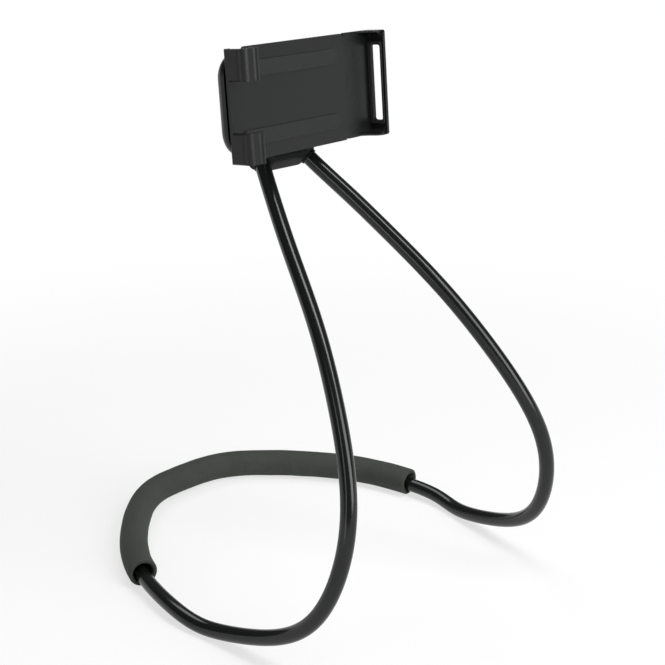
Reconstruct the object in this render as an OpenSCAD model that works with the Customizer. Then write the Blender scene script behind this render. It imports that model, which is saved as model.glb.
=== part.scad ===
// Phone holder worn round the neck: a bendable loop with a foam neck pad,
// a yoke that joins the two tube ends, a ball joint and a sliding phone clamp.
// The front is -Y and the loop rests on Z = 0.

/* [Neck loop] */
// Overall width of the bent loop
loop_width = 260; // [230:1:300]
// Overall depth of the loop, front to back
loop_depth = 296; // [260:1:340]
// Height at which the tubes leave the yoke
yoke_height = 285; // [250:1:320]
// Place of the tube exits, behind the loop's middle
yoke_setback = 11.5; // [0:0.5:20]
// Outer diameter of the smooth sleeve
tube_d = 10.4; // [9:0.1:11.5]
// Diameter of the bendable alloy core
core_d = 6; // [4:0.5:6.5]

/* [Neck pad] */
// Outer diameter of the foam pad
pad_d = 20.6; // [17:0.1:26]
// Length of the foam pad along the tube
pad_length = 355; // [200:1:380]
// Radial play of the tube inside the pad
pad_slack = 2.3; // [0.5:0.1:3]
// Shift of the pad along the tube, towards the right leg
pad_shift = 15; // [0:1:40]

/* [Yoke] */
// Width of the yoke at the tube exits
yoke_width = 54; // [53:0.5:60]
// Width of the yoke at its closed end
yoke_end_width = 38; // [34:1:50]
// Length of the yoke along the tubes
yoke_length = 57; // [55:1:70]
// Thickness of the closed yoke
yoke_thick = 16; // [15.5:0.5:22]
// Rounding of the yoke's long edges
yoke_edge = 4.5; // [2:0.5:5]
// Distance between the two tube exits
exit_gap = 42; // [38:0.5:44]
// Angle by which each tube turns outwards
splay = 18; // [14:1:20]
// Angle of the yoke above the horizontal
yoke_pitch = 42; // [38:1:46]
// Wall of the ferrules
ferrule_wall = 0.8; // [0.6:0.1:1.6]
// Length of a ferrule
ferrule_length = 15; // [12:1:18]
// Length of a ferrule that stands out of the yoke
ferrule_out = 1; // [0.5:0.5:4]

/* [Ball joint] */
// Diameter of the ball
ball_d = 17; // [16:0.5:18]
// Diameter of the stud's neck
neck_d = 7; // [6:0.5:8]
// Distance of the ball's centre along the yoke
ball_along = 36.7; // [34:0.1:38]
// Height of the ball's centre over the yoke's joint plane
ball_rise = 28.7; // [27:0.1:30]
// Lean of the stud away from square to the yoke
stud_lean = 26; // [20:1:28]
// Wall of the friction cup and of the retaining ring
cup_wall = 2; // [1.5:0.1:2.5]
// Wall of the threaded socket collar
collar_wall = 2.3; // [2:0.1:3]
// Wall of the lock nut
nut_wall = 2.2; // [2:0.1:2.6]
// Length of the lock nut
nut_length = 13.5; // [10:0.5:16]

/* [Clamp pose] */
// Turn of the clamp to its left or right
clamp_yaw = 7; // [-5:0.5:12]
// Lean of the clamp, negative is backwards
clamp_lean = -5.5; // [-12:0.5:2]
// Turn of the clamp about its own face
clamp_roll = 1.4; // [-3:0.1:3]

/* [Clamp] */
// Clear length between the two jaws
grip_length = 138.4; // [130:0.1:150]
// Height of the fixed plate and the left jaw
plate_height = 70; // [68:0.5:80]
// Thickness of the fixed plate
plate_t = 2; // [1.8:0.1:3]
// Thickness of the jaws' soft pads
soft_t = 1; // [0.8:0.1:1.5]
// Thickness of the left jaw
hook_t = 2.2; // [2:0.1:3]
// Reach of the hooks in front of the soft back pads
hook_reach = 15; // [13:0.5:18]
// Height of the open gap between the two hooks
port_gap = 31; // [20:0.5:40]
// Outer radius of a hook's front corner
hook_r = 6; // [5:0.5:7]
// Thickness of the right jaw's wall
jaw_t = 2.3; // [2:0.1:3]
// Reach of the right jaw in front of the soft back pads
jaw_reach = 10.2; // [9.5:0.1:14]
// Height of the right jaw
jaw_height = 70; // [70:0.5:82]
// Clear height between the corner guards of the right jaw
clear_height = 67.6; // [66:0.1:68]
// Radius of the fillets in the corners of the right jaw
jaw_fillet = 6; // [3:0.5:7]
// Height of the window in the right jaw
window_h = 50.5; // [40:0.5:53]
// Width of the window in the right jaw
window_w = 8; // [6:0.5:9]
// Width of the bar in front of the window
window_bar = 2.7; // [2:0.1:4]
// Thickness of the sliding plate
slide_t = 2.2; // [2:0.1:2.8]
// Height of the sliding plate inside its channel
slide_height = 54; // [50:0.5:56]
// Travel of the jaw towards the closed end
travel_in = 16; // [10:1:18]
// Travel of the jaw towards the open end
travel_out = 32; // [20:1:36]
// Depth of the rear cover behind the sliding channel
cover_depth = 9.2; // [8.6:0.2:11]
// Wall of the rear cover
cover_wall = 2; // [1.5:0.1:2.4]
// Diameter of the guide rods
rod_d = 2.5; // [2:0.1:3]

/* [Hidden] */
$fn = 48;

// Gaps between fitted pieces, and between pieces that slide past each other
fit = 0.05;
run = 0.3;

// Route of the bent tube, from just outside the yoke to the middle of the back.
// Columns: percent of the half width, of the depth and of the height, and percent
// of the lift that the foam pad gives the tube. Chosen by hand.
ROUTE = [[31.5, 40, 87, 0], [51, 17.5, 66, 0], [73, 0, 37.5, 0], [86.5, 6.5, 11, 0],
         [96, 32, 0.4, 0], [100, 48, 0, 96], [84.5, 72.5, 0, 110], [39, 96, 0, 105],
         [0, 100, 0, 106]];
tube_r = tube_d / 2;
pad_r = pad_d / 2;
half_w = loop_width / 2 - tube_r;
front_y = tube_r - loop_depth / 2;
back_y = loop_depth / 2 - pad_r;
pad_lift = pad_r - tube_r - pad_slack + run;
tube_sides = 12;
core_sides = 8;
pad_sides = 20;
steps = 6;
socket_depth = 22;
// Straight stretch of the tube in front of the yoke
lead_out = 5.5;

function at_percent(p) = [p[0] / 100 * half_w, front_y + p[1] / 100 * (back_y - front_y),
    tube_r + p[2] / 100 * (yoke_height - tube_r) + p[3] / 100 * pad_lift];
function mirrored(p) = [-p[0], p[1], p[2]];
function unit(v) = v / norm(v);
function last(list) = list[len(list) - 1];

exit_point = [exit_gap / 2, yoke_setback, yoke_height];
exit_dir = [sin(splay), -cos(splay) * cos(yoke_pitch), -cos(splay) * sin(yoke_pitch)];
tube_start = exit_point - socket_depth * exit_dir;
spline_start = exit_point + lead_out * exit_dir;
half_route = concat([spline_start], [for (p = ROUTE) at_percent(p)]);
mid = len(half_route) - 1;
// The point before the first one aims the tube square out of the yoke
aim = half_route[1] - norm(half_route[1] - spline_start) * 2 * exit_dir;
knots = concat([aim], half_route, [for (i = [mid - 1 : -1 : 0]) mirrored(half_route[i])],
    [mirrored(aim)]);

// Catmull-Rom curve through the knots, then a few smoothing passes
function blend(a, b, c, d, t) = 0.5 * (2 * b + (c - a) * t + (2 * a - 5 * b + 4 * c - d) * t * t
    + (3 * b - a - 3 * c + d) * t * t * t);
function curve(k) = concat([for (i = [1 : len(k) - 3], s = [0 : steps - 1])
    blend(k[i - 1], k[i], k[i + 1], k[i + 2], s / steps)], [k[len(k) - 2]]);
function smooth(p, n) = n == 0 ? p : smooth([for (i = [0 : len(p) - 1])
    i == 0 || i == len(p) - 1 ? p[i] : (p[i - 1] + 2 * p[i] + p[i + 1]) / 4], n - 1);
function densify(a, b, n) = [for (i = [0 : n - 1]) a + (b - a) * i / n];
bend = smooth(curve(knots), 3);
tube_path = concat(densify(tube_start, spline_start, 2), bend,
    [mirrored(exit_point), mirrored(tube_start)]);

// Distance along a path, and the point at a distance
function lengths(p) = [for (i = 0, s = 0; i < len(p); i = i + 1,
    s = i < len(p) ? s + norm(p[i] - p[i - 1]) : s) s];
tube_s = lengths(tube_path);
function column(k) = [for (i = [0 : len(tube_path) - 1]) [tube_s[i], tube_path[i][k]]];
columns = [column(0), column(1), column(2)];
function along(s) = [lookup(s, columns[0]), lookup(s, columns[1]), lookup(s, columns[2])];
pad_middle = last(tube_s) / 2 - pad_shift;
pad_rings = 30;
pad_path = [for (i = [0 : pad_rings]) along(pad_middle + (i / pad_rings - 0.5) * pad_length)
    + [0, 0, pad_slack - run]];

function tangents(p) = [for (i = [0 : len(p) - 1])
    unit(p[min(i + 1, len(p) - 1)] - p[max(i - 1, 0)])];
function normals(t) = [for (i = 0, n = unit(cross(t[0], [1, 0, 0])); i < len(t); i = i + 1,
    n = i < len(t) ? unit(n - (n * t[i]) * t[i]) : n) n];

// A round bar or hose along a path; bore_r of 0 makes a bar
module sweep(path, r, bore_r, sides) {
    t = tangents(path);
    n = normals(t);
    rings = len(path);
    function ring(i, radius) = [for (j = [0 : sides - 1]) path[i]
        + radius * (cos(360 * j / sides) * n[i] + sin(360 * j / sides) * cross(t[i], n[i]))];
    outer = [for (i = [0 : rings - 1]) each ring(i, r)];
    inner = bore_r > 0 ? [for (i = [0 : rings - 1]) each ring(i, bore_r)] : [];
    base = rings * sides;
    function next(j) = (j + 1) % sides;
    skin = [for (i = [0 : rings - 2], j = [0 : sides - 1])
        [i * sides + j, (i + 1) * sides + j, (i + 1) * sides + next(j), i * sides + next(j)]];
    lining = bore_r > 0 ? [for (f = skin) [base + f[3], base + f[2], base + f[1], base + f[0]]] : [];
    tail = base - sides;
    ends = bore_r > 0
        ? [for (j = [0 : sides - 1]) each [[j, next(j), base + next(j), base + j],
            [tail + next(j), tail + j, base + tail + j, base + tail + next(j)]]]
        : [[for (j = [0 : sides - 1]) j], [for (j = [sides - 1 : -1 : 0]) tail + j]];
    polyhedron(points = concat(outer, inner), faces = concat(skin, lining, ends));
}

// Places of the yoke, the stud and the clamp
module in_yoke() {
    translate([0, yoke_setback, yoke_height]) rotate([yoke_pitch, 0, 0]) children();
}
module in_stud() {
    in_yoke() translate([0, ball_along, ball_rise]) rotate([stud_lean, 0, 0]) children();
}
ball_r = ball_d / 2;
ball_at = [0, yoke_setback + ball_along * cos(yoke_pitch) - ball_rise * sin(yoke_pitch),
    yoke_height + ball_along * sin(yoke_pitch) + ball_rise * cos(yoke_pitch)];
cavity_r = ball_r + fit + cup_wall + fit;
socket_x = 3.5;
module in_clamp() {
    translate(ball_at) rotate([clamp_lean, 0, clamp_yaw]) rotate([0, clamp_roll, 0])
        translate([-socket_x, -socket_y, 0]) children();
}
// The socket's axis runs back out of the clamp, and the ball's centre is its zero
module in_socket() {
    in_clamp() translate([socket_x, socket_y, 0]) rotate([-90, 0, 0]) children();
}

// Loop pieces
module neck_tube() {
    color([0.07, 0.07, 0.08]) sweep(tube_path, tube_r, core_d / 2 + 0.2, tube_sides);
}
module bend_core() {
    color([0.7, 0.71, 0.73]) sweep(tube_path, core_d / 2, 0, core_sides);
}
module foam_pad() {
    color([0.24, 0.25, 0.24]) sweep(pad_path, pad_r, tube_r + pad_slack, pad_sides);
}

// Yoke: two moulded halves that meet at the plane through both tubes
yoke_half = yoke_thick / 2;
yoke_corner = 5;
edge_layers = 5;
// The exit faces stand square to the tubes, on both sides of a flat middle
square_part = cos(splay) * cos(splay);
flat_half = (exit_gap * square_part - yoke_width / 2) / (2 * square_part - 1);
cheek_y = (yoke_width / 2 - flat_half) * tan(splay);
exit_inset = (exit_gap / 2 - flat_half) * sin(splay);
shoulder_y = cheek_y + (yoke_width - yoke_end_width) / 2 / tan(splay);
screw_d = 2.5;
head_d = 5;
head_h = 1.8;
ferrule_d = tube_d + 2 * fit + 2 * ferrule_wall;
ferrule_from = exit_inset - ferrule_out;
yoke_screw_at = [[0, 12], [-11.5, 36], [11.5, 36]];
yoke_screw_l = yoke_half + 4;
foot_d = 12;
foot_h = 3;
seat = 15;
foot_at = 23.5;
boss_d = neck_d + 10;

// Half shell over an outline given as points, its edge rounded in layers
module rounded_half(outline) {
    hull() for (i = [0 : edge_layers]) {
        a = 90 * i / edge_layers;
        linear_extrude(yoke_half - yoke_edge * (1 - sin(a)))
            offset(r = yoke_corner - yoke_edge * (1 - cos(a)), $fn = 32) offset(delta = -yoke_corner)
                polygon(outline);
    }
}
// The front widens with the tubes, and the tail that carries the stud is straight
module yoke_shell() {
    rounded_half([[-flat_half, 0], [flat_half, 0], [yoke_width / 2, cheek_y],
        [yoke_end_width / 2, shoulder_y], [-yoke_end_width / 2, shoulder_y], [-yoke_width / 2, cheek_y]]);
    translate([0, shoulder_y / 2, 0]) rounded_half([[-yoke_end_width / 2, 0], [yoke_end_width / 2, 0],
        [yoke_end_width / 2, yoke_length - shoulder_y / 2],
        [-yoke_end_width / 2, yoke_length - shoulder_y / 2]]);
}
module along_tube(side, from, length, d) {
    translate([side * exit_gap / 2, 0, 0]) rotate([0, 0, side * splay]) rotate([-90, 0, 0])
        translate([0, 0, from]) cylinder(h = length, d = d);
}
module yoke_bores() {
    for (side = [-1, 1]) {
        along_tube(side, -2, socket_depth + 2 + fit, tube_d + 2 * fit);
        along_tube(side, -yoke_corner, yoke_corner + ferrule_from + ferrule_length + fit,
            ferrule_d + 2 * fit);
    }
}
module yoke_front() {
    color([0.1, 0.1, 0.11]) in_yoke() difference() {
        union() {
            yoke_shell();
            intersection() {
                translate([0, ball_along, ball_rise]) rotate([stud_lean, 0, 0])
                    translate([0, 0, -seat - 20]) cylinder(h = 20, d = boss_d);
                translate([-boss_d, 0, 0]) cube([2 * boss_d, yoke_length + boss_d, ball_rise]);
            }
        }
        yoke_bores();
        translate([0, ball_along, ball_rise]) rotate([stud_lean, 0, 0]) {
            translate([0, 0, -foot_at - 1]) cylinder(h = foot_at, d = neck_d + 2 * fit);
            translate([0, 0, -foot_at - 20]) cylinder(h = 20 + fit, d = foot_d + 4 * fit);
        }
        for (p = yoke_screw_at)
            translate([p[0], p[1], -1]) cylinder(h = 1 + yoke_screw_l - yoke_half + head_h + fit,
                d = screw_d + 2 * fit);
    }
}
module yoke_rear() {
    color([0.1, 0.1, 0.11]) in_yoke() difference() {
        mirror([0, 0, 1]) yoke_shell();
        yoke_bores();
        for (p = yoke_screw_at) translate([p[0], p[1], 0]) {
            translate([0, 0, -yoke_thick]) cylinder(h = 2 * yoke_thick, d = screw_d + 2 * fit);
            translate([0, 0, -yoke_half - 5]) cylinder(h = 5 + head_h, d = head_d + 4 * fit);
        }
    }
}
// Pan-head screw, its head's top at zero and its shank along +Z
module screw(head_d, head_h, d, length) {
    difference() {
        union() {
            cylinder(h = head_h, d = head_d);
            cylinder(h = length, d = d);
        }
        translate([0, 0, -0.1]) cylinder(h = head_h * 0.55, d = head_d * 0.5, $fn = 6);
    }
}
module yoke_screws() {
    color("silver") in_yoke() for (p = yoke_screw_at)
        translate([p[0], p[1], -yoke_half]) screw(head_d, head_h, screw_d, yoke_screw_l);
}
module ferrule(side) {
    difference() {
        along_tube(side, ferrule_from, ferrule_length, ferrule_d);
        along_tube(side, ferrule_from - 1, ferrule_length + 2, tube_d + 2 * fit);
    }
}
module left_ferrule() { color([0.13, 0.13, 0.14]) in_yoke() ferrule(-1); }
module right_ferrule() { color([0.13, 0.13, 0.14]) in_yoke() ferrule(1); }

// Ball joint
module ball_stud() {
    color("silver") in_stud() union() {
        sphere(d = ball_d);
        translate([0, 0, -foot_at - 1]) cylinder(h = foot_at + 1, d = neck_d);
        translate([0, 0, -seat]) cylinder(h = 1.5, d = neck_d + 5);
        translate([0, 0, -foot_at - foot_h]) cylinder(h = foot_h, d = foot_d);
    }
}
cup_rim = 5.5;
ring_from = 0.5;
ring_to = 4;
module ball_shell(from, to) {
    intersection() {
        difference() {
            sphere(r = cavity_r - fit);
            sphere(r = ball_r + fit);
        }
        translate([0, 0, from]) cylinder(h = to - from, r = 2 * cavity_r);
    }
}
module friction_cup() {
    color([0.75, 0.74, 0.7]) in_socket() ball_shell(-cavity_r, -cup_rim);
}
module retaining_ring() {
    color([0.75, 0.74, 0.7]) in_socket() ball_shell(ring_from, ring_to);
}
// Layers of the clamp, counted backwards from the face that the phone rests on
channel_y = soft_t + plate_t;
slide_y = channel_y + run;
cover_y = slide_y + slide_t + run;
back_y_clamp = cover_y + cover_depth;
flange_h = 2.4;
collar_r = cavity_r + collar_wall;
socket_y = back_y_clamp + 1.4 + cavity_r;
flange_w = 2.6;
module socket_collar() {
    flange_from = back_y_clamp - cover_wall - fit - flange_h - socket_y;
    color([0.09, 0.09, 0.1]) in_socket() difference() {
        union() {
            translate([0, 0, flange_from]) cylinder(h = ring_to - flange_from, r = collar_r);
            translate([0, 0, flange_from]) cylinder(h = flange_h, r = collar_r + flange_w);
        }
        sphere(r = cavity_r);
        cylinder(h = 2 * cavity_r, r = cavity_r);
    }
}
lip_t = 1.5;
lip_r = ball_r + 0.5;
nut_r = collar_r + fit + nut_wall;
knurls = 18;
groove_r = 1.7;
// Grooves whose middles lie this far outside the nut give it its grip
groove_out = 0.9;
module lock_nut() {
    color([0.09, 0.09, 0.1]) in_socket() difference() {
        translate([0, 0, ring_to + fit + lip_t - nut_length]) cylinder(h = nut_length, r = nut_r);
        translate([0, 0, ring_to + fit - nut_length]) cylinder(h = nut_length, r = collar_r + fit);
        cylinder(h = 2 * cavity_r, r = lip_r);
        for (i = [0 : knurls - 1]) rotate(i * 360 / knurls)
            translate([nut_r + groove_out, 0, ring_to - nut_length])
                cylinder(h = 2 * nut_length, r = groove_r, $fn = 24);
    }
}

// Clamp. X runs to the right jaw, Z up the clamp, and +Y to its back
grip_half = grip_length / 2;
wall_in = grip_half + soft_t;
hook_out = wall_in + hook_t;
hook_corner = 2.4;
// Bevel behind the left jaw, and the lower shoulder of the plate behind the hooks
bevel = 3;
shoulder_x = -55;
shoulder_h = 3;
// Front of the low rim that closes the gap between the hooks
rim_y = -2;
jaw_pad_t = 1;
jaw_in = grip_half + jaw_pad_t;
jaw_out = jaw_in + jaw_t;
return_l = 11;
return_ramp = 3;
plate_right = jaw_out - return_l - return_ramp - travel_in - 1;
rail_right = plate_right - travel_in - 1;
plate_half = plate_height / 2;
slide_half = slide_height / 2;
slide_left = -30;
cover_left = -hook_out + 1.2;
cover_right = jaw_out - travel_in;
cover_half = plate_half - 3.5;
cover_corner = 14;
dome_inset = 12.5;
dome_layers = 6;
rod_z = 20.5;
rod_y = cover_y + 2.4;
cover_screw_z = (slide_half + run + cover_half) / 2;
cover_screw_x = [-54, rail_right - 7];
cover_screw_d = 2.2;
cover_head_d = 4.2;
cover_head_h = 1.4;
post_d = 5;
post_h = cover_depth * 0.45;
// Depth of the screw heads' seats below the tops of the posts
post_seat = 1.5;

module flat(x0, x1, half, r) {
    translate([x0, -half]) offset(r = r) offset(delta = -r) square([x1 - x0, 2 * half]);
}
// A slab in the clamp's own plane, from y0 back to y1
module slab(y0, y1) {
    translate([0, y1, 0]) rotate([90, 0, 0]) linear_extrude(y1 - y0) children();
}
// A section of the clamp seen from above, drawn as X and Y, from z0 up to z1
module rise(z0, z1) {
    translate([0, 0, z0]) linear_extrude(z1 - z0) children();
}
// A side view of the clamp, drawn as Y and Z, from x over a thickness
module across(x, thickness) {
    translate([x, 0, 0]) rotate([0, 90, 0]) rotate([0, 0, 90]) linear_extrude(thickness) children();
}
// Left wall from a front edge back to the plate
module wall_section(front) {
    polygon([[-hook_out, front], [-wall_in, front], [-wall_in, soft_t], [4 - wall_in, soft_t],
        [4 - wall_in, channel_y], [bevel - hook_out, channel_y], [-hook_out, channel_y - bevel]]);
}
// Hook section: wall, round corner, and a tip that turns away from the screen
module hook_section() {
    tip_r = 4;
    corner_x = -hook_out + hook_r;
    corner_y = -hook_reach + hook_r;
    flare_x = corner_x + 2.5;
    wall_section(corner_y);
    intersection() {
        translate([corner_x, corner_y]) difference() {
            circle(r = hook_r);
            circle(r = hook_r - hook_t);
        }
        translate([-hook_out, -hook_reach]) square([hook_r, hook_r]);
    }
    translate([corner_x, -hook_reach]) square([flare_x - corner_x, hook_t]);
    intersection() {
        translate([flare_x, -hook_reach - tip_r]) difference() {
            circle(r = tip_r + hook_t);
            circle(r = tip_r);
        }
        translate([flare_x, -hook_reach - tip_r]) polygon([[0, 0], [9, 9], [9, 20], [0, 20]]);
    }
    translate([flare_x, -hook_reach - tip_r]) rotate(45) translate([tip_r + hook_t / 2, 0])
        circle(d = hook_t);
}
// A hook's corners are rounded as seen from the front and from the side
module hook(z0, z1) {
    intersection() {
        rise(z0, z1) hook_section();
        slab(-2 * hook_reach, channel_y) translate([-hook_out - 0.5, z0 + 0.001])
            offset(r = hook_corner) offset(delta = -hook_corner) square([2 * hook_reach, z1 - z0]);
        across(-hook_out - 1, 2 * hook_reach) translate([-2 * hook_reach, z0 + 0.001])
            offset(r = hook_corner) offset(delta = -hook_corner)
                square([2 * hook_reach + channel_y + 0.001, z1 - z0]);
    }
}
module fixed_jaw() {
    color([0.09, 0.09, 0.1]) in_clamp() difference() {
        union() {
            slab(soft_t, channel_y) {
                flat(bevel - hook_out, plate_right, plate_half - shoulder_h, 2);
                flat(shoulder_x, plate_right, plate_half, 2.5);
            }
            hook(port_gap / 2, plate_half);
            hook(-plate_half, -port_gap / 2);
            rise(-port_gap / 2 - 3, port_gap / 2 + 3) wall_section(rim_y);
            // Rails above and below the sliding plate, and the closed left end
            for (s = [-1, 1])
                slab(channel_y, cover_y)
                    translate([cover_left + 10, s > 0 ? slide_half + run : -cover_half])
                        square([rail_right - cover_left - 10, cover_half - slide_half - run]);
            slab(channel_y, cover_y) difference() {
                intersection() {
                    flat(cover_left, cover_right, cover_half, cover_corner);
                    translate([cover_left, -cover_half]) square([cover_corner, 2 * cover_half]);
                }
                translate([cover_left + 4, 4 - cover_half]) square([20, 2 * cover_half - 8]);
            }
        }
        for (x = cover_screw_x, s = [-1, 1])
            translate([x, channel_y - 1, s * cover_screw_z]) rotate([-90, 0, 0])
                cylinder(h = 2 * cover_depth, d = cover_screw_d + 2 * fit);
    }
}
// Domed outline of the cover at a depth behind its rim
module cover_layer(depth, inset, grow) {
    translate([0, cover_y + depth, 0]) rotate([90, 0, 0]) linear_extrude(0.01)
        offset(delta = -grow) flat(cover_left + inset * 1.4, cover_right - inset * 1.4,
            cover_half - inset, cover_corner - inset * 0.3, $fn = 32);
}
// Quarter of an ellipse from the upright rim to the flat back
module cover_dome(wall) {
    hull() for (i = [0 : dome_layers]) {
        a = 90 * i / dome_layers;
        cover_layer(max(0.01, (cover_depth - wall) * sin(a)), dome_inset * (1 - cos(a)), wall);
    }
}
lug_l = 8;
lug_h = 6;
rib_t = 3;
rib_x = [cover_left + 6, slide_left + 2 + lug_l + travel_out + 1];
module rear_cover() {
    color([0.08, 0.08, 0.09]) in_clamp() difference() {
        union() {
            difference() {
                cover_dome(0);
                translate([0, -0.02, 0]) cover_dome(cover_wall);
            }
            // Ribs that hold the guide rods
            intersection() {
                cover_dome(0);
                for (x = rib_x, s = [-1, 1]) translate([x, cover_y, s * rod_z - lug_h / 2])
                    cube([rib_t, cover_depth - cover_wall * 0.8, lug_h]);
            }
            // Posts for the screws
            for (x = cover_screw_x, s = [-1, 1])
                translate([x, cover_y + 0.01, s * cover_screw_z]) rotate([-90, 0, 0])
                    cylinder(h = post_h, d = post_d);
        }
        for (x = cover_screw_x, s = [-1, 1])
            translate([x, cover_y, s * cover_screw_z]) rotate([-90, 0, 0]) {
                translate([0, 0, -1]) cylinder(h = 2 * cover_depth, d = cover_screw_d + 2 * fit);
                translate([0, 0, post_h - post_seat])
                    cylinder(h = 2 * cover_depth, d = cover_head_d + 4 * fit);
            }
        for (s = [-1, 1])
            translate([rib_x[0] - 0.5, rod_y, s * rod_z]) rotate([0, 90, 0])
                cylinder(h = rib_x[1] - rib_x[0] + rib_t, d = rod_d + 2 * fit);
        translate([socket_x, cover_y, 0]) rotate([-90, 0, 0])
            cylinder(h = 2 * cover_depth, r = collar_r + fit);
    }
}
module cover_screws() {
    color("silver") in_clamp() for (x = cover_screw_x, s = [-1, 1])
        translate([x, cover_y + post_h - post_seat + cover_head_h, s * cover_screw_z]) rotate([90, 0, 0])
            screw(cover_head_d, cover_head_h, cover_screw_d, post_h + cover_y - channel_y - 0.4);
}
module guide_rods() {
    color("silver") in_clamp() for (s = [-1, 1])
        translate([rib_x[0], rod_y, s * rod_z]) rotate([0, 90, 0])
            cylinder(h = rib_x[1] - rib_x[0] + rib_t - 1, d = rod_d);
}
module back_pads() {
    color([0.16, 0.16, 0.17]) in_clamp() for (s = [-1, 1])
        slab(0, soft_t) translate([0, s * plate_half * 0.6]) flat(10 - wall_in, plate_right - 8, 5, 4);
}
module hook_pad(z0, z1) {
    across(-wall_in, soft_t) offset(r = 1.5) offset(delta = -1.5)
            polygon([[hook_r - hook_reach + 1, z0 + 1], [soft_t - 0.6, z0 + 1],
                [soft_t - 0.6, z1 - 1], [hook_r - hook_reach + 1, z1 - 1]]);
}
module upper_hook_pad() { color([0.16, 0.16, 0.17]) in_clamp() hook_pad(port_gap / 2, plate_half); }
module lower_hook_pad() { color([0.16, 0.16, 0.17]) in_clamp() hook_pad(-plate_half, -port_gap / 2); }

// Sliding jaw: a plate in the channel, a flared end and a wall with a window
jaw_half = jaw_height / 2;
clear_half = clear_height / 2;
flare_from = plate_right + 4;
return_t = jaw_half - clear_half;
window_y = jaw_reach - window_bar;
// A rectangle in the side view of the clamp, with round corners
module side_view(y0, y1, half, r) {
    translate([y0, -half]) offset(r = r) offset(delta = -r) square([y1 - y0, 2 * half]);
}
module window_cut(x, t) {
    across(x, t) side_view(-window_y, window_w - window_y, window_h / 2, 1.5);
}
// Fillet between the wall and a corner guard, for the round corner of the phone
module corner_fillet(side) {
    slab(1.5 - jaw_reach, slide_y + slide_t - 0.5)
        translate([jaw_in - jaw_fillet, side * (clear_half - jaw_fillet)]) rotate(side > 0 ? 0 : -90)
            difference() {
                square(jaw_fillet + 0.5);
                circle(r = jaw_fillet);
            }
}
// Short side wall that hugs the phone's corner, ramped down to the plate
module corner_return() {
    linear_extrude(return_t)
        polygon([[jaw_out - 0.5, slide_y + slide_t - 0.5],
            [jaw_out - return_l - return_ramp, slide_y + slide_t - 0.5],
            [jaw_out - return_l - return_ramp, slide_y + 0.5], [jaw_out - return_l, -1],
            [jaw_out - return_l + 2, 3 - jaw_reach], [jaw_out - return_l + 5, 1 - jaw_reach],
            [jaw_out - 2, 1 - jaw_reach], [jaw_out - 0.5, 2 - jaw_reach]]);
}
module sliding_jaw() {
    color([0.09, 0.09, 0.1]) in_clamp() difference() {
        union() {
            slab(slide_y, slide_y + slide_t) flat(slide_left, plate_right + 8, slide_half, 4);
            slab(slide_y, slide_y + slide_t)
                polygon([[plate_right, -slide_half], [flare_from, -plate_half], [jaw_out - 10, -jaw_half],
                    [jaw_out - 0.5, -jaw_half], [jaw_out - 0.5, jaw_half], [jaw_out - 10, jaw_half],
                    [flare_from, plate_half], [plate_right, slide_half]]);
            across(jaw_in, jaw_t) side_view(-jaw_reach, slide_y + slide_t, jaw_half, 1.5);
            translate([0, 0, clear_half]) corner_return();
            translate([0, 0, -jaw_half]) corner_return();
            corner_fillet(1);
            corner_fillet(-1);
            // Lugs that run on the guide rods
            for (s = [-1, 1])
                translate([slide_left + 2, slide_y + slide_t - 0.01, s * rod_z - lug_h / 2])
                    cube([lug_l, rod_y + 2.2 - slide_y - slide_t, lug_h]);
        }
        window_cut(jaw_in - 1, jaw_t + 2);
        for (s = [-1, 1]) translate([slide_left, rod_y, s * rod_z]) rotate([0, 90, 0])
            cylinder(h = lug_l + 4, d = rod_d + 2 * fit);
    }
}
module jaw_pad() {
    color([0.16, 0.16, 0.17]) in_clamp() difference() {
        across(grip_half, jaw_pad_t)
            side_view(1.5 - jaw_reach, slide_y - run, clear_half - jaw_fillet - run, 1.5);
        window_cut(grip_half - 1, jaw_pad_t + 2);
    }
}
// Spring leaf that brakes the slide against the inside of the cover
leaf_l = 22;
leaf_t = 0.5;
leaf_h = back_y_clamp - cover_wall - fit - flange_h - run - slide_y - slide_t;
leaf_r = (leaf_l * leaf_l / 4 + leaf_h * leaf_h) / (2 * leaf_h);
leaf_x = slide_left + 4;
module brake_leaf() {
    color("silver") in_clamp() translate([leaf_x + leaf_l / 2, slide_y + slide_t, 0]) rise(-4, 4) {
        intersection() {
            translate([0, leaf_h - leaf_r]) difference() {
                circle(r = leaf_r, $fn = 96);
                circle(r = leaf_r - leaf_t, $fn = 96);
            }
            translate([-leaf_l / 2, 0]) square([leaf_l, leaf_h]);
        }
        for (s = [-1, 1]) translate([s > 0 ? leaf_l / 2 - 1.5 : -leaf_l / 2 - 3.5, 0]) square([5, leaf_t]);
    }
}
module leaf_rivets() {
    color("silver") in_clamp() for (s = [-1, 1])
        translate([leaf_x + leaf_l / 2 + s * (leaf_l / 2 + 1.6), slide_y + slide_t + leaf_t, 0])
            rotate([-90, 0, 0]) cylinder(h = 0.8, d = 2.4);
}

neck_tube();
bend_core();
foam_pad();
yoke_front();
yoke_rear();
yoke_screws();
left_ferrule();
right_ferrule();
ball_stud();
friction_cup();
retaining_ring();
socket_collar();
lock_nut();
fixed_jaw();
rear_cover();
cover_screws();
guide_rods();
back_pads();
upper_hook_pad();
lower_hook_pad();
sliding_jaw();
jaw_pad();
brake_leaf();
leaf_rivets();
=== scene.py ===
# Phone holder worn round the neck. A vinyl-covered bendable loop with a foam neck pad stands
# on a pale studio floor, and carries a yoke, a ball joint and a phone clamp with a sliding jaw.
import math

import bmesh
import bpy
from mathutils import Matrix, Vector, noise


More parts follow.
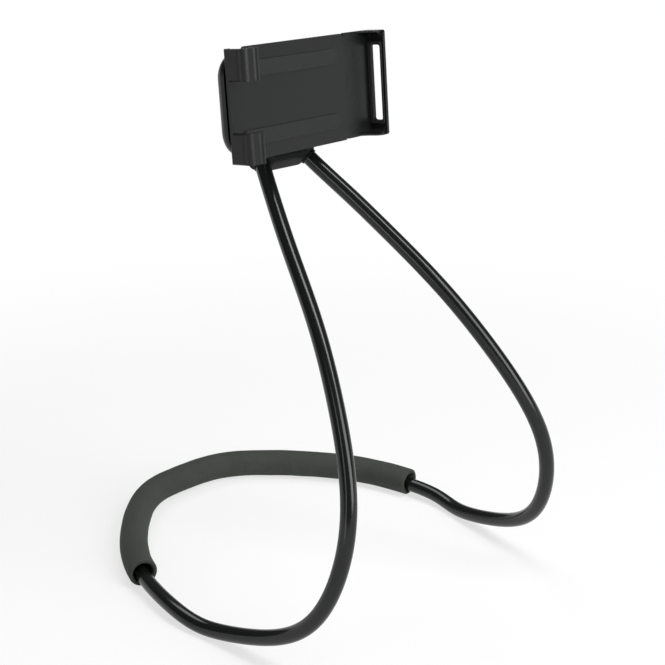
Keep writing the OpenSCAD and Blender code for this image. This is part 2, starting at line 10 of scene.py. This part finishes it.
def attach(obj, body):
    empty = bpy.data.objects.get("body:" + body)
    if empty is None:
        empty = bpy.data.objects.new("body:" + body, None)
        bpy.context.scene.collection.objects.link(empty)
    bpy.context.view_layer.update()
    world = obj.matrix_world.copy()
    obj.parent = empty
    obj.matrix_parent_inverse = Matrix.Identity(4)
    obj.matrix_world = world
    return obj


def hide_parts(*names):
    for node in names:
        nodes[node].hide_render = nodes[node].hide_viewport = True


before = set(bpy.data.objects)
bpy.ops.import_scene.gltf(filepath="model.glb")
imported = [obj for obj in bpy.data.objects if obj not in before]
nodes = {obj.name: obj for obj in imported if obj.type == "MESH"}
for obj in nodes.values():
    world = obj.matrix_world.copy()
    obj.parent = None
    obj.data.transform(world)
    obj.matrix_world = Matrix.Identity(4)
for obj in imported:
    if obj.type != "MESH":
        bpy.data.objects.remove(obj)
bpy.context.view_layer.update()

# Camera
# The holder is seen from the front left and a little above, from about an arm's length, so
# that both legs, the foam pad and the clamp's open front show.
view_target = Vector((-0.0177, -0.0506, 0.1862))
view_azimuth = -43.6
view_elevation = 20.0
view_distance = 0.9
view_lens = 74.92
view_sensor = 36
view_clip = 0.01


def stand(item, azimuth, elevation, distance):
    """Links a camera or a lamp and stands it at angles in degrees, facing the holder."""
    turn = math.radians(azimuth)
    rise = math.radians(elevation)
    away = Vector((math.sin(turn) * math.cos(rise), -math.cos(turn) * math.cos(rise),
                   math.sin(rise)))
    item.location = view_target + away * distance
    item.rotation_euler = away.to_track_quat("Z", "Y").to_euler()
    bpy.context.scene.collection.objects.link(item)


camera = bpy.data.objects.new("camera", bpy.data.cameras.new("camera"))
camera.data.lens = view_lens
camera.data.sensor_width = view_sensor
camera.data.clip_start = view_clip
stand(camera, view_azimuth, view_elevation, view_distance)
bpy.context.scene.camera = camera
bpy.context.scene.view_settings.view_transform = "Standard"


# Studio
# A pale paper floor reaches a far white wall. A broad soft box in front, a narrow one at the
# left and a long one overhead draw the highlights on the glossy sleeve. A fourth is behind.
class Flow:
    """The output of a node in a finish, which takes part in plain arithmetic."""

    def __init__(self, finish, socket):
        self.finish = finish
        self.socket = socket

    def __add__(self, other):
        return self.finish.maths("ADD", self, other)

    def __mul__(self, other):
        return self.finish.maths("MULTIPLY", self, other)

    __radd__ = __add__
    __rmul__ = __mul__


class Finish:
    """A material with one principled shader, built up by adding nodes to it."""

    def __init__(self, name, **shader):
        self.material = bpy.data.materials.new(name)
        self.material.use_nodes = True
        self.tree = self.material.node_tree
        self.shader = self.tree.nodes["Principled BSDF"]
        self.place = self.add("ShaderNodeTexCoord", out="Object")
        self.set(**shader)

    def add(self, kind, sockets=(), out=0, **settings):
        node = self.tree.nodes.new(kind)
        for name, value in settings.items():
            setattr(node, name, value)
        for name, value in dict(sockets).items():
            self.plug(node.inputs[name], value)
        return Flow(self, node.outputs[out])

    def plug(self, socket, value):
        if isinstance(value, Flow):
            self.tree.links.new(value.socket, socket)
        elif socket.type == "RGBA":
            socket.default_value = (*value, 1)
        else:
            socket.default_value = value

    def set(self, **shader):
        for name, value in shader.items():
            label = name.replace("_", " ").title().replace("Ior", "IOR")
            self.plug(self.shader.inputs[label], value)

    def maths(self, operation, first, second):
        return self.add("ShaderNodeMath", {0: first, 1: second}, operation=operation)

    def noise(self, scale, detail=2.0, roughness=0.5):
        """Soft noise with the scale in patterns per metre."""
        return self.add("ShaderNodeTexNoise", {"Vector": self.place, "Scale": scale,
                                               "Detail": detail, "Roughness": roughness})

    def mix(self, amount, first, second):
        """Blends two colours. The node's colour sockets are inputs 6 and 7 and output 2."""
        return self.add("ShaderNodeMix", {0: amount, 6: first, 7: second}, out=2, data_type="RGBA")

    def bump(self, height, depth):
        relief = self.add("ShaderNodeBump", {"Height": height, "Distance": depth, "Strength": 1.0},
                          out="Normal")
        self.plug(self.shader.inputs["Normal"], relief)

    def glow(self, amount):
        """Shows plain white light in place of the surface, by the amount given."""
        white = self.add("ShaderNodeEmission", {"Strength": 1.0})
        lit = Flow(self, self.shader.outputs[0])
        both = self.add("ShaderNodeMixShader", {0: amount, 1: lit, 2: white})
        self.plug(self.tree.nodes["Material Output"].inputs["Surface"], both)


def wear(piece, finish):
    """Gives a piece one finish all over."""
    piece.data.materials.clear()
    piece.data.materials.append(finish.material)


# The paper turns plain white away from the holder, and keeps the holder's shadow near it
shadow_reach = 0.22
white_reach = 0.8
near_glow = 0.68
floor_width = 24
wall_radius = 10
wall_top = 1.5
paper = Finish("studio_paper", base_color=(0.88, 0.88, 0.88), roughness=0.9,
               specular_ior_level=0.1)
reach = paper.add("ShaderNodeVectorMath", {0: paper.place}, out="Value", operation="LENGTH")
far_off = paper.add("ShaderNodeMapRange", {"Value": reach, "From Min": shadow_reach,
                                           "From Max": white_reach, "To Min": near_glow},
                    interpolation_type="SMOOTHSTEP")
seen = [paper.add("ShaderNodeLightPath", out=kind) for kind in
        ("Is Camera Ray", "Is Glossy Ray", "Is Transmission Ray")]
paper.glow((seen[0] + seen[1] + seen[2]) * far_off)
bpy.ops.mesh.primitive_plane_add(size=floor_width)
floor = bpy.context.object
floor.name = "studio_floor"
bpy.ops.mesh.primitive_cylinder_add(vertices=96, radius=wall_radius, depth=2 * wall_top,
                                    end_fill_type="NOTHING")
wall = bpy.context.object
wall.name = "studio_wall"
for sheet in (floor, wall):
    wear(sheet, paper)


def soft_box(name, azimuth, elevation, distance, power, width, height):
    """A rectangular lamp that hangs round the holder and faces it."""
    lamp = bpy.data.objects.new(name, bpy.data.lights.new(name, "AREA"))
    lamp.data.energy = power
    lamp.data.shape = "RECTANGLE"
    lamp.data.size = width
    lamp.data.size_y = height
    stand(lamp, azimuth, elevation, distance)


soft_box("key_box", 11, 28, 1.5, power=18, width=0.8, height=1.2)
soft_box("high_box", 25, 68, 1.35, power=10, width=0.35, height=0.95)
soft_box("side_box", -75, 22, 1.7, power=4, width=0.3, height=1.5)
soft_box("back_box", 165, 58, 1.8, power=10, width=1.0, height=0.8)
world = bpy.data.worlds.new("studio_air")
bpy.context.scene.world = world
world.use_nodes = True
air = world.node_tree.nodes["Background"]
air.inputs["Color"].default_value = (1, 1, 1, 1)
air.inputs["Strength"].default_value = 0.12

# Neck loop
# One soft alloy rod runs from one side of the yoke to the other inside a smooth extruded vinyl
# sleeve. It is bent by hand, and it rests on the floor at both sides and at the back.
MM = 0.001
tube_r = 5.2 * MM
tube_sides = 60
core_r = 3 * MM
core_slack = 0.2 * MM
tube_wall = tube_r - core_r - core_slack
pad_r = 10.3 * MM
pad_slack = 2.3 * MM
gap = 0.3 * MM
loop_half_width = 130 * MM
loop_half_depth = 148 * MM
side_x = loop_half_width - tube_r
front_y = tube_r - loop_half_depth
back_y = loop_half_depth - pad_r
yoke_at = Vector((0, 11.5, 285)) * MM
yoke_pitch = math.radians(42)
splay = math.radians(18)
half_exit = 21 * MM
socket_depth = 22 * MM
lead_out = 5.5 * MM
pad_lift = pad_r - tube_r - pad_slack + gap
# One half of the loop from the yoke to the middle of the back, in percent of the half width,
# of the depth, of the height and of the pad's lift
route = [(31.5, 40, 87, 0), (51, 17.5, 66, 0), (73, 0, 37.5, 0), (86.5, 6.5, 11, 0),
         (96, 32, 0.4, 0), (100, 48, 0, 96), (84.5, 72.5, 0, 110), (39, 96, 0, 105),
         (0, 100, 0, 106)]
bend_steps = 6
easing_passes = 3
fine_steps = 4


def mirrored(point):
    return Vector((-point.x, point.y, point.z))


def through(knots, steps):
    """Catmull-Rom curve from the second knot to the last but one."""
    points = []
    for a, b, c, d in zip(knots, knots[1:], knots[2:], knots[3:]):
        for step in range(steps):
            t = step / steps
            points.append(0.5 * (2 * b + (c - a) * t + (2 * a - 5 * b + 4 * c - d) * t ** 2
                                 + (3 * b - a - 3 * c + d) * t ** 3))
    return points + [knots[-2].copy()]


def smoothed(points, passes):
    for _ in range(passes):
        middle = [(a + 2 * b + c) / 4 for a, b, c in zip(points, points[1:], points[2:])]
        points = [points[0], *middle, points[-1]]
    return points


exit_at = yoke_at + Vector((half_exit, 0, 0))
exit_way = Vector((math.sin(splay), -math.cos(splay) * math.cos(yoke_pitch),
                   -math.cos(splay) * math.sin(yoke_pitch)))
half = [exit_at + exit_way * lead_out]
for across, deep, high, lifted in route:
    half.append(Vector((across / 100 * side_x, front_y + deep / 100 * (back_y - front_y),
                        tube_r + high / 100 * (yoke_at.z - tube_r) + lifted / 100 * pad_lift)))
aim = half[1] - exit_way * 2 * (half[1] - half[0]).length
other = [mirrored(point) for point in reversed(half[:-1])]
bend = smoothed(through([aim, *half, *other, mirrored(aim)], bend_steps), easing_passes)
inner_end = exit_at - exit_way * socket_depth
straight = [inner_end, (inner_end + bend[0]) / 2]
loop_path = [*straight, *bend, mirrored(exit_at), mirrored(inner_end)]
ends = [2 * loop_path[0] - loop_path[1], 2 * loop_path[-1] - loop_path[-2]]
smooth_path = through([ends[0], *loop_path, ends[1]], fine_steps)


def path_curve(name, points):
    """A poly curve object through the points, for a tree to follow."""
    curve = bpy.data.curves.new(name, "CURVE")
    curve.dimensions = "3D"
    spline = curve.splines.new("POLY")
    spline.points.add(len(points) - 1)
    for spot, point in zip(spline.points, points):
        spot.co = (*point, 1)
    line = bpy.data.objects.new(name, curve)
    bpy.context.scene.collection.objects.link(line)
    return line


class Tree:
    """A geometry node tree with named inputs, which ends in Realize Instances and Set Material."""

    def __init__(self, name, **inputs):
        self.group = bpy.data.node_groups.new(name, "GeometryNodeTree")
        self.sockets = {}
        face = self.group.interface
        face.new_socket("Geometry", in_out="INPUT", socket_type="NodeSocketGeometry")
        for label, value in inputs.items():
            kind = "NodeSocketInt" if isinstance(value, int) else "NodeSocketFloat"
            self.sockets[label] = face.new_socket(label, in_out="INPUT", socket_type=kind)
        face.new_socket("Geometry", in_out="OUTPUT", socket_type="NodeSocketGeometry")
        self.values = inputs
        self.start = self.group.nodes.new("NodeGroupInput")
        self.end = self.group.nodes.new("NodeGroupOutput")

    def value(self, label):
        return self.start.outputs[label]

    def add(self, kind, sockets):
        node = self.group.nodes.new(kind)
        for name, value in sockets.items():
            if isinstance(value, bpy.types.NodeSocket):
                self.group.links.new(value, node.inputs[name])
            else:
                node.inputs[name].default_value = value
        return node.outputs[0]

    def bake(self, name, source, geometry, finish):
        """Runs the tree on the source object and keeps the result as a plain mesh piece."""
        solid = self.add("GeometryNodeRealizeInstances", {"Geometry": geometry})
        painted = self.add("GeometryNodeSetMaterial",
                           {"Geometry": solid, "Material": finish.material})
        self.group.links.new(painted, self.end.inputs[0])
        modifier = source.modifiers.new(name, "NODES")
        modifier.node_group = self.group
        for label, value in self.values.items():
            modifier[self.sockets[label].identifier] = value
        bpy.context.view_layer.update()
        graph = bpy.context.evaluated_depsgraph_get()
        mesh = bpy.data.meshes.new_from_object(source.evaluated_get(graph), depsgraph=graph)
        bpy.data.objects.remove(source)
        piece = bpy.data.objects.new(name, mesh)
        bpy.context.scene.collection.objects.link(piece)
        return piece


def worked(piece, modifier, **settings):
    """Adds one modifier to a piece and applies it at once."""
    added = piece.modifiers.new(modifier.lower(), modifier)
    for name, value in settings.items():
        setattr(added, name, value)
    graph = bpy.context.evaluated_depsgraph_get()
    mesh = bpy.data.meshes.new_from_object(piece.evaluated_get(graph), depsgraph=graph)
    piece.modifiers.clear()
    piece.data = mesh


vinyl = Finish("sleeve_vinyl", base_color=(0.0062, 0.007, 0.0067), specular_ior_level=0.36)
vinyl.set(roughness=0.15 + 0.05 * vinyl.noise(scale=60, detail=1))
vinyl.bump(vinyl.noise(scale=24, detail=0), depth=0.12 * MM)
sweep = Tree("sleeve_sweep", radius=tube_r, sides=tube_sides)
ring = sweep.add("GeometryNodeCurvePrimitiveCircle",
                 {"Resolution": sweep.value("sides"), "Radius": sweep.value("radius")})
hose = sweep.add("GeometryNodeCurveToMesh",
                 {"Curve": sweep.value("Geometry"), "Profile Curve": ring})
hose = sweep.add("GeometryNodeSetShadeSmooth", {"Geometry": hose})
sleeve = sweep.bake("neck_sleeve", path_curve("sleeve_line", smooth_path), hose, vinyl)
worked(sleeve, "SOLIDIFY", thickness=tube_wall, offset=-1)
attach(sleeve, "loop")
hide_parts("neck_tube")

alloy = Finish("core_alloy", base_color=(0.72, 0.73, 0.75), metallic=1.0)
alloy.set(roughness=0.35 + 0.1 * alloy.noise(scale=600))
wear(nodes["bend_core"], alloy)

# Neck pad
# A length of closed-cell foam hose is pushed over the sleeve. It is cut square at both ends,
# rides loosely on the sleeve, and is pressed slightly flat where it lies on the floor.
pad_length = 355 * MM
pad_shift = 15 * MM
pad_bore = tube_r + pad_slack
pad_rise = pad_slack - gap
pad_edge = 0.9 * MM
pad_rings = 150
bore_rings = 50
pad_sides = 72
pad_squeeze = 0.15 * MM
swell_height = 0.22 * MM
swell_spread = 14 * MM
floor_line = 0.02 * MM
cells_per_metre = 1100


def walked(points):
    """Distance along the points, one figure for each."""
    run = [0.0]
    for a, b in zip(points, points[1:]):
        run.append(run[-1] + (b - a).length)
    return run


def on_path(points, run, distance):
    """Point and direction at a distance along the points."""
    spot = next((i for i, d in enumerate(run[1:]) if d >= distance), len(run) - 2)
    share = (distance - run[spot]) / (run[spot + 1] - run[spot])
    way = (points[spot + 1] - points[spot]).normalized()
    return points[spot].lerp(points[spot + 1], share), way


loop_run = walked(loop_path)
smooth_run = walked(smooth_path)
stretch = smooth_run[-1] / loop_run[-1]
pad_start = loop_run[-1] / 2 - pad_shift - pad_length / 2


def pad_profile():
    """Closed outline of the pad's wall: distance from its start, and radius."""
    quarter_turn = [math.radians(15 * k) for k in range(7)]
    outside = [(pad_edge * (1 - math.cos(a)), pad_r - pad_edge * (1 - math.sin(a)))
               for a in quarter_turn]
    length = [(pad_edge + (pad_length - 2 * pad_edge) * k / pad_rings, pad_r)
              for k in range(1, pad_rings)]
    far = [(pad_length - s, r) for s, r in reversed(outside)]
    bore = [(pad_length * (1 - k / bore_rings), pad_bore) for k in range(bore_rings + 1)]
    return outside + length + far + bore


def foam_mesh():
    """The pad's wall along the loop, slightly uneven outside and flat on the floor."""
    mesh = bmesh.new()
    rows = []
    up = Vector((0, 0, 1))
    for distance, radius in pad_profile():
        centre, way = on_path(smooth_path, smooth_run, (pad_start + distance) * stretch)
        centre = centre + up * pad_rise
        side = way.cross(up).normalized()
        rise = side.cross(way)
        row = []
        for turn in range(pad_sides):
            angle = 2 * math.pi * turn / pad_sides
            out = math.cos(angle) * side + math.sin(angle) * rise
            swell = swell_height * noise.noise((centre + out * radius) / swell_spread)
            reach_out = radius + (swell if radius > pad_bore else 0) - pad_squeeze
            point = centre + out * reach_out
            point.z = max(point.z, floor_line)
            row.append(mesh.verts.new(point))
        rows.append(row)
    for first, second in zip(rows, rows[1:] + rows[:1]):
        for k in range(pad_sides):
            following = (k + 1) % pad_sides
            mesh.faces.new((first[k], first[following], second[following], second[k]))
    bmesh.ops.recalc_face_normals(mesh, faces=mesh.faces)
    for face in mesh.faces:
        face.smooth = True
    data = bpy.data.meshes.new("foam_hose")
    mesh.to_mesh(data)
    mesh.free()
    return data


foam = Finish("foam_grey", roughness=0.85, specular_ior_level=0.4)
cells = foam.add("ShaderNodeTexVoronoi", {"Vector": foam.place, "Scale": cells_per_metre},
                 out="Distance")
cloudy = foam.noise(scale=45, detail=4, roughness=0.6)
foam.set(base_color=foam.mix(cloudy, (0.034, 0.0385, 0.034), (0.0535, 0.0595, 0.052)))
foam.bump(cells * 0.8 + foam.noise(scale=500, detail=3), depth=0.35 * MM)
pad = bpy.data.objects.new("neck_foam", foam_mesh())
bpy.context.scene.collection.objects.link(pad)
wear(pad, foam)
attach(pad, "loop")
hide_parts("foam_pad")

# Yoke
# Two moulded black halves close round both tube ends and the foot of the ball stud. Three
# pan-head screws from the rear hold them together.
weld_distance = 0.002 * MM
flat_angle = math.radians(1)
edge_angle = math.radians(32)
crease_angle = math.radians(35)


def moulding(name, colour, gloss, roughness):
    """Moulded plastic with a fine grain and a slightly uneven polish."""
    finish = Finish(name, base_color=colour, specular_ior_level=gloss)
    finish.set(roughness=roughness + 0.08 * finish.noise(scale=120, detail=3))
    finish.bump(finish.noise(scale=2600) + 0.5 * finish.noise(scale=260), depth=0.05 * MM)
    return finish


def dressed(node, name, body, finish, edge):
    """Stands in for a plain solid, with edges rounded as the mould or cutter leaves them."""
    mesh = bmesh.new()
    mesh.from_mesh(nodes[node].data)
    bmesh.ops.remove_doubles(mesh, verts=mesh.verts, dist=weld_distance)
    bmesh.ops.dissolve_limit(mesh, angle_limit=flat_angle, verts=mesh.verts, edges=mesh.edges,
                             delimit=set())
    data = bpy.data.meshes.new(name)
    mesh.to_mesh(data)
    mesh.free()
    piece = bpy.data.objects.new(name, data)
    bpy.context.scene.collection.objects.link(piece)
    worked(piece, "BEVEL", width=edge, segments=3, limit_method="ANGLE", angle_limit=edge_angle,
           use_clamp_overlap=True)
    piece.data.shade_smooth()
    piece.data.set_sharp_from_angle(angle=crease_angle)
    worked(piece, "WEIGHTED_NORMAL", keep_sharp=True)
    wear(piece, finish)
    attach(piece, body)
    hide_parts(node)


# Duller than the clamp's black; its darker colour is painted shade, where the clamp above shades
# the yoke
shaded_yoke_black = moulding("shaded_yoke_black", (0.0044, 0.0048, 0.0047), gloss=0.13, roughness=0.5)
for shell in ("yoke_front", "yoke_rear"):
    dressed(shell, shell + "_shell", "loop", shaded_yoke_black, edge=0.35 * MM)
steel = Finish("screw_steel", base_color=(0.6, 0.6, 0.61), metallic=1.0)
steel.set(roughness=0.28 + 0.15 * steel.noise(scale=900, detail=3))
dressed("yoke_screws", "yoke_screw_set", "loop", steel, edge=0.15 * MM)

# Ferrules
# A short moulded collar lines each hole where a tube leaves the yoke. Both wear the yoke's duller
# black, whose darker colour is painted shade from the clamp above them.
for side in ("left", "right"):
    dressed(side + "_ferrule", side + "_collar", "loop", shaded_yoke_black,
            edge=0.15 * MM)

# Ball joint
# The turned and plated ball stud stands on the yoke. A bearing cup behind the ball and a ring
# in front of it sit in the threaded socket, and the knurled nut squeezes the ring on the ball.
chrome = Finish("ball_chrome", base_color=(0.78, 0.78, 0.8), metallic=1.0)
chrome.set(roughness=0.08 + 0.06 * chrome.noise(scale=400, detail=3))
dressed("ball_stud", "turned_stud", "loop", chrome, edge=0.2 * MM)
bearing = Finish("cup_polymer", base_color=(0.75, 0.73, 0.68), specular_ior_level=0.4)
bearing.set(roughness=0.45 + 0.1 * bearing.noise(scale=300))
for cup in ("friction_cup", "retaining_ring"):
    wear(nodes[cup], bearing)
clamp_black = moulding("clamp_black", (0.0066, 0.0073, 0.007), gloss=0.27, roughness=0.28)
dressed("socket_collar", "socket_shell", "clamp", clamp_black, edge=0.2 * MM)
dressed("lock_nut", "knurled_nut", "nut", clamp_black, edge=0.3 * MM)

# Fixed half of the clamp
# The plate and the two hooks are one moulding. The domed cover is screwed to its back and
# holds the two steel rods on which the jaw slides.
dressed("fixed_jaw", "hooked_plate", "clamp", clamp_black, edge=0.45 * MM)
dressed("rear_cover", "domed_cover", "clamp", clamp_black, edge=0.3 * MM)
dressed("cover_screws", "cover_screw_set", "clamp", steel, edge=0.12 * MM)
wear(nodes["guide_rods"], steel)

# Soft pads
# Flat strips of soft black rubber are glued to the plate, inside the hooks and in the jaw.
# They have a dull, finely grained skin.
rubber = Finish("pad_rubber", base_color=(0.0175, 0.018, 0.018), specular_ior_level=0.27)
rubber.set(roughness=0.72 + 0.12 * rubber.noise(scale=500))
rubber.bump(rubber.noise(scale=1800), depth=0.06 * MM)
for strip, body in (("back_pads", "clamp"), ("upper_hook_pad", "clamp"),
                    ("lower_hook_pad", "clamp"), ("jaw_pad", "jaw")):
    dressed(strip, "soft_" + strip, body, rubber, edge=0.25 * MM)

# Sliding jaw
# One moulding: a plate that runs in the channel behind the fixed plate, a flared head with
# corner guards, and an end wall with a long window. A riveted leaf spring brakes it.
dressed("sliding_jaw", "windowed_jaw", "jaw", clamp_black, edge=0.4 * MM)
spring = Finish("spring_steel", base_color=(0.5, 0.51, 0.53), metallic=1.0)
spring.set(roughness=0.3 + 0.1 * spring.noise(scale=700))
for node in ("brake_leaf", "leaf_rivets"):
    wear(nodes[node], spring)
